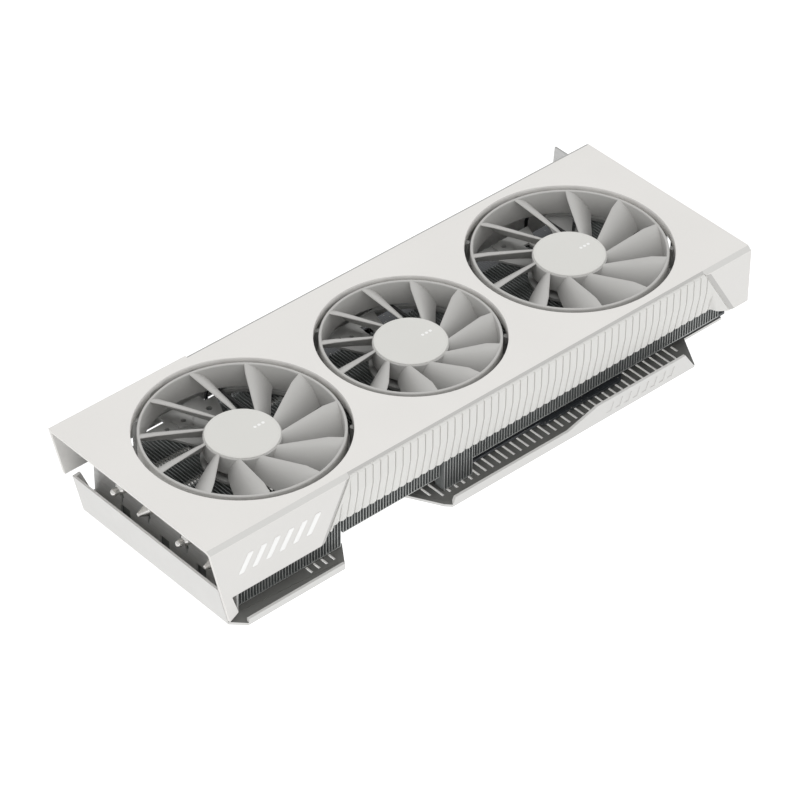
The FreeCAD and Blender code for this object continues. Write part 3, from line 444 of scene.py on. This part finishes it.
def blade_rows(ring_r, bottom):
    """Closed sections of one blade, each a cambered strip with a pointed nose at its upper edge."""
    rows = []
    limit = ring_r - RING_WALL / 2
    for top, low, z_top, thick in blade_spans(ring_r):
        along = low - top
        z_mid = bottom + (z_top - bottom) * BLADE_CAMBER
        chord = along.length
        curve = []
        for k in range(BLADE_POINTS):
            t = k / (BLADE_POINTS - 1)
            curve.append((chord * quadratic((0.0, BLADE_CREST, 1.0), t, BLADE_CREST),
                          quadratic((z_top, z_mid, bottom), t, BLADE_CREST)))
        upper, lower = [], []
        for k, (s, z) in enumerate(curve):
            before, after = curve[max(0, k - 1)], curve[min(BLADE_POINTS - 1, k + 1)]
            ds, dz = after[0] - before[0], after[1] - before[1]
            half = thick / 2 * (1 - 0.3 * k / (BLADE_POINTS - 1)) / math.hypot(ds, dz)
            upper.append((s - dz * half, z + ds * half))
            lower.append((s + dz * half, z - ds * half))
        (s0, z0), (s1, z1) = curve[0], curve[1]
        nose = 0.35 * thick / math.hypot(s1 - s0, z1 - z0)
        lip = (s0 - (s1 - s0) * nose, z0 - (z1 - z0) * nose)
        row = []
        for s, z in upper + lower[::-1] + [lip]:
            point = top + along * (s / chord)
            if point.length > limit:
                point = point * (limit / point.length)
            row.append((point.x, point.y, min(max(z, bottom), Z_BLADE_LIMIT)))
        rows.append(row)
    return rows


def turned(points, angle, centre):
    """Points about the origin, turned and moved to a centre."""
    c, s = math.cos(angle), math.sin(angle)
    return [(centre[0] + x * c - y * s, centre[1] + x * s + y * c, z) for x, y, z in points]


def build_rotor(number):
    """Hub, eleven cambered blades and the ring that joins their tips."""
    body = "fan_%d" % number
    node = body + "_rotor"
    low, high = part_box(node)
    centre = ((low.x + high.x) / 2 / MM, (low.y + high.y) / 2 / MM)
    ring_r = (high.x - low.x) / 2 / MM
    z_low, z_high = low.z / MM, high.z / MM
    hub_low, hub_inner, lip_r = z_low + 0.2, HUB_R - HUB_WALL, HUB_R - 2.0
    web_low, web_high, web_r, boss_r = Z_HUB_TOP - 0.95, Z_HUB_TOP - 0.1, 17.4, 3.4
    shape = Shape()
    shape.lathe(rounded([(ring_r - RING_WALL, z_low, 0.3), (ring_r, z_low, 0.3), (ring_r, z_high, 0.7),
                         (ring_r - RING_WALL, z_high, 0.7)]), centre, 128)
    shape.lathe(rounded([(hub_inner, hub_low, 0.2), (HUB_R, hub_low, 0.3), (HUB_R, Z_HUB_TOP, 0.6),
                         (lip_r, Z_HUB_TOP, 0.1), (lip_r, Z_HUB_TOP - 1.0, 0.1),
                         (hub_inner, Z_HUB_TOP - 1.4, 0.1)]), centre, 96)
    shape.lathe([(SHAFT_BORE_R, Z_SHAFT_FOOT), (boss_r, Z_SHAFT_FOOT), (boss_r, web_low), (web_r, web_low),
                 (web_r, web_high), (SHAFT_BORE_R, web_high)], centre, 64)
    rows = blade_rows(ring_r, z_low + 1.0)
    for k in range(BLADES):
        spin = 2 * math.pi * k / BLADES
        shape.grid([turned(row, spin, centre) for row in rows], close_columns=True, cap_ends=True)
    return new_piece(body + "_blade_wheel", shape.verts, shape.faces, body, [node], "rotor_white")


def build_cap(number):
    """Shallow crowned cap with a fine raised rim, and three raised dots in place of a mark."""
    body = "fan_%d" % number
    node = body + "_hub_cap"
    low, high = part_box(node)
    centre = ((low.x + high.x) / 2 / MM, (low.y + high.y) / 2 / MM)
    r = (high.x - low.x) / 2 / MM
    z0, z1 = low.z / MM, high.z / MM
    axis_r = 0.02
    shape = Shape()
    crown = [(axis_r, z1 - 0.10), (6.0, z1 - 0.11), (12.0, z1 - 0.16), (r - 1.1, z1 - 0.22),
             (r - 0.9, z1 - 0.05)]
    rim = [(r - 0.7, z1), (r - 0.35, z1 - 0.03), (r - 0.08, z1 - 0.25), (r, z1 - 0.5), (r, z0), (axis_r, z0)]
    shape.lathe(crown + rim, centre, 128)
    new_piece(body + "_crown_cap", shape.verts, shape.faces, body, [node], "cap_white")
    mark = Shape()
    z_mark, dot_r, first_dot, dot_pitch = z1 - 0.16, 0.85, 7.4, 2.5
    for k in range(3):
        spot = (centre[0] + first_dot + dot_pitch * k, centre[1] - 0.4)
        mark.lathe([(axis_r, z_mark - 0.2), (dot_r, z_mark - 0.2), (dot_r, z_mark),
                    (dot_r - 0.1, z_mark + 0.08), (axis_r, z_mark + 0.08)], spot, 24)
    new_piece(body + "_cap_dots", mark.verts, mark.faces, body, [], "mark_white")


# --- side panel ----------------------------------------------------------
RIB_PITCH, RIB_FIRST, RIB_COUNT = 4.72, -110.0, 58
# places across one pitch that get a column of vertices: close together at the groove's edges
RIB_PHASES = (0.0, 0.03, 0.055, 0.08, 0.2, 0.33, 0.45, 0.6, 0.75, 0.92, 0.945, 0.97)
RIB_CREST = 0.45
# the slanted ends, tail then head, each as (x, z) at two heights
PANEL_ENDS = (((-91.9, 48.0), (-106.0, 18.0)), ((144.1, 48.0), (162.3, 18.0)))
Y_PANEL, PANEL_BACK, Z_PANEL_BACK_TOP = -59.75, 1.5, 49.0
Z_FOLD, Z_PANEL_LOW, FOLD_IN = 37.8, 22.9, 2.0
CORNER_SLOPE = 0.46
PANEL_SHARP = 50.0
STRIPES, STRIPE_PITCH, STRIPE_W, STRIPE_H, STRIPE_LEAN = 6, 8.2, 3.4, 10.0, 6.2
STRIPE_START = (-160.0, 29.0)


def panel_profile():
    """(y, z, groove depth, roundness) down the panel, from the bevel over the fold to the lower edge."""
    points = [(Y_PANEL + 1.0, 50.0, 0.10, 0.0), (Y_PANEL + 0.3, 49.5, 0.25, 0.0), (Y_PANEL, 49.1, 0.8, 0.0)]
    points += [(Y_PANEL, z, 1.0, 0.0) for z in (48.6, 45.0, 41.0, 38.6)]
    points.append((Y_PANEL + 0.03, Z_FOLD + 0.2, 1.0, 0.05))
    for k in range(10):
        t = k / 9
        points.append((Y_PANEL + 0.08 + FOLD_IN * t, Z_FOLD - 0.3 + (Z_PANEL_LOW - Z_FOLD + 0.3) * t,
                       1.0 + 0.2 * t, 0.15 + 0.65 * t))
    return points


def rib_depth(phase, groove, roundness):
    """How far the surface lies behind the rib's crest, for a place 0..1 across one pitch."""
    edge = abs(phase - 0.5) * 2
    groove_edge, groove_slope = 0.84, 0.10
    flat = min(1.0, max(0.0, (edge - groove_edge) / groove_slope))
    tent = (RIB_CREST - phase) / RIB_CREST if phase < RIB_CREST else (phase - RIB_CREST) / (1 - RIB_CREST)
    return groove * (flat * (1 - 0.5 * roundness) + 0.75 * tent * roundness)


def smooth(t):
    """Smooth step from 0 to 1."""
    t = min(1.0, max(0.0, t))
    return t * t * (3 - 2 * t)


def plain_margin(x, z):
    """1 on the unribbed margins beside the two slanted ends, 0 over the ribs."""
    (top, bottom), (head_top, _) = PANEL_ENDS
    tail_x = top[0] + (z - top[1]) * (top[0] - bottom[0]) / (top[1] - bottom[1])
    head_x = head_top[0] - 0.6 + (head_top[1] - z) * 0.31
    return max(smooth((tail_x + 3.0 - x) / 1.6), smooth((x - head_x) / 2.2))


def build_ribbed_panel():
    """Folded sheet with one rib per pitch: flat-topped above the fold, faceted below."""
    columns = [(RIB_FIRST + RIB_PITCH * (i + phase), phase) for i in range(RIB_COUNT) for phase in RIB_PHASES]
    front, back = [], []
    x_corner = PANEL_ENDS[1][0][0] + 6.8
    for y, z, groove, roundness in panel_profile():
        row, behind = [], []
        drop = max(0.0, Z_FOLD - z) / (Z_FOLD - Z_PANEL_LOW)
        plain_y = min(y, Y_PANEL) if drop else y
        for x, phase in columns:
            plain = plain_margin(x, z)
            rib_y = y + rib_depth(phase, groove, roundness)
            z_here = z - drop * CORNER_SLOPE * max(0.0, x - x_corner)
            row.append((x, rib_y + (plain_y - rib_y) * plain, z_here))
            behind.append((x, y + PANEL_BACK, min(z_here, Z_PANEL_BACK_TOP)))
        front.append(row)
        back.append(behind)
    shape = Shape()
    shape.grid(front + back[::-1], close_rows=True)
    piece = new_piece("ribbed_panel", shape.verts, shape.faces, "card", ["side_panel_ribbed"], "panel_white",
                      PANEL_SHARP)
    bm = bmesh.new()
    bm.from_mesh(piece.data)
    for (top, bottom), side in zip(PANEL_ENDS, (-1, 1)):
        along = Vector((bottom[0] - top[0], 0, bottom[1] - top[1])).normalized()
        normal = Vector((-along.z, 0, along.x)) * (1 if -along.z * side > 0 else -1)
        everything = bm.verts[:] + bm.edges[:] + bm.faces[:]
        cut = bmesh.ops.bisect_plane(bm, geom=everything, plane_co=Vector((top[0], 0, top[1])) * MM,
                                     plane_no=normal, clear_outer=True)
        rim = [e for e in cut["geom_cut"] if isinstance(e, bmesh.types.BMEdge)]
        bmesh.ops.holes_fill(bm, edges=rim)
    bmesh.ops.recalc_face_normals(bm, faces=bm.faces)
    bm.to_mesh(piece.data)
    bm.free()
    piece.data.set_sharp_from_angle(angle=math.radians(PANEL_SHARP))


def stripe_outline(x, z, inset, radius):
    """(x, z) outline of one slanted stripe with its lower corner at x, z."""
    lean, low, high = STRIPE_LEAN, z + inset, z + STRIPE_H - inset
    return rounded([(x + inset, low, radius), (x + STRIPE_W - inset, low, radius),
                    (x + STRIPE_W + lean - inset, high, radius), (x + lean + inset, high, radius)])


def build_wall_stripes():
    """Plain slanted stripes, raised a hair, on the tail part of the near wall."""
    shape = Shape()
    y_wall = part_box("fan_shroud")[0].y / MM
    for k in range(STRIPES):
        x, z = STRIPE_START[0] + STRIPE_PITCH * k, STRIPE_START[1]
        outline, face = stripe_outline(x, z, 0.0, 0.5), stripe_outline(x, z, 0.1, 0.4)
        rows = [[(u, y_wall + 0.2, v) for u, v in outline],
                [(u, y_wall - 0.18, v) for u, v in outline],
                [(u, y_wall - 0.25, v) for u, v in face]]
        shape.grid(rows, close_columns=True, cap_ends=True)
    new_piece("wall_stripes", shape.verts, shape.faces, "card", [], "mark_white")


# --- stage ---------------------------------------------------------------
AZIMUTH, ELEVATION, ROLL = -41.860, 39.217, 0.3347
LENS, SENSOR = 176.46, 36.0
CAMERA_PLACE = (-1.00436, -1.11334, 1.23385)
FLOOR_HALF, FLOOR_Z = 14.0, -0.60


def build_camera():
    """The camera of the photograph, aimed by azimuth, elevation and a slight roll."""
    azimuth, elevation, roll = math.radians(AZIMUTH), math.radians(ELEVATION), math.radians(ROLL)
    back = Vector((math.sin(azimuth) * math.cos(elevation), -math.cos(azimuth) * math.cos(elevation),
                   math.sin(elevation)))
    right = (-back).cross(Vector((0, 0, 1))).normalized()
    up = right.cross(-back)
    right, up = (math.cos(roll) * right + math.sin(roll) * up, -math.sin(roll) * right + math.cos(roll) * up)
    data = bpy.data.cameras.new("camera")
    data.lens = LENS
    data.sensor_width = SENSOR
    camera = bpy.data.objects.new("camera", data)
    bpy.context.scene.collection.objects.link(camera)
    place = Matrix((right, up, back)).transposed().to_4x4()
    place.translation = Vector(CAMERA_PLACE)
    camera.matrix_world = place
    bpy.context.scene.camera = camera


def area_light(name, place, target, size, power):
    """A round soft lamp aimed at a target."""
    data = bpy.data.lights.new(name, "AREA")
    data.shape = "DISK"
    data.size = size
    data.energy = power
    lamp = bpy.data.objects.new(name, data)
    lamp.location = place
    lamp.rotation_euler = (Vector(target) - Vector(place)).to_track_quat("-Z", "Y").to_euler()
    bpy.context.scene.collection.objects.link(lamp)


def build_stage():
    """White floor well below the card, even studio light from all round and two soft lamps."""
    scene = bpy.context.scene
    scene.view_settings.view_transform = "Standard"
    world = bpy.data.worlds.new("studio")
    world.use_nodes = True
    scene.world = world
    sky = world.node_tree.nodes["Background"]
    sky.inputs["Color"].default_value = (1.0, 1.0, 1.0, 1.0)
    sky.inputs["Strength"].default_value = 0.80
    area_light("overhead", (-0.3, -0.2, 2.2), (0, 0, 0), 1.6, 9.0)
    area_light("front", (-0.9, -1.9, 0.9), (0, 0, 0), 1.2, 2.2)

    n = Nodes("floor_paper")
    n.link(n.tone((0.93, 0.93, 0.93), 0.01, 3.0), n.shader.inputs["Base Color"])
    n.shader.inputs["Roughness"].default_value = 0.8
    n.shader.inputs["Emission Color"].default_value = (1.0, 1.0, 1.0, 1.0)
    n.shader.inputs["Emission Strength"].default_value = 0.35
    mesh = bpy.data.meshes.new("floor")
    corners = ((-1, -1), (1, -1), (1, 1), (-1, 1))
    mesh.from_pydata([(x * FLOOR_HALF, y * FLOOR_HALF, FLOOR_Z) for x, y in corners], [], [(0, 1, 2, 3)])
    mesh.materials.append(n.material)
    floor = bpy.data.objects.new("floor", mesh)
    bpy.context.scene.collection.objects.link(floor)


dress_cad_nodes()
soften_edges(["fan_shroud"], 0.35)
build_ribbed_panel()
build_wall_stripes()
for fan_number in (1, 2, 3):
    build_rotor(fan_number)
    build_cap(fan_number)
build_stage()
build_camera()
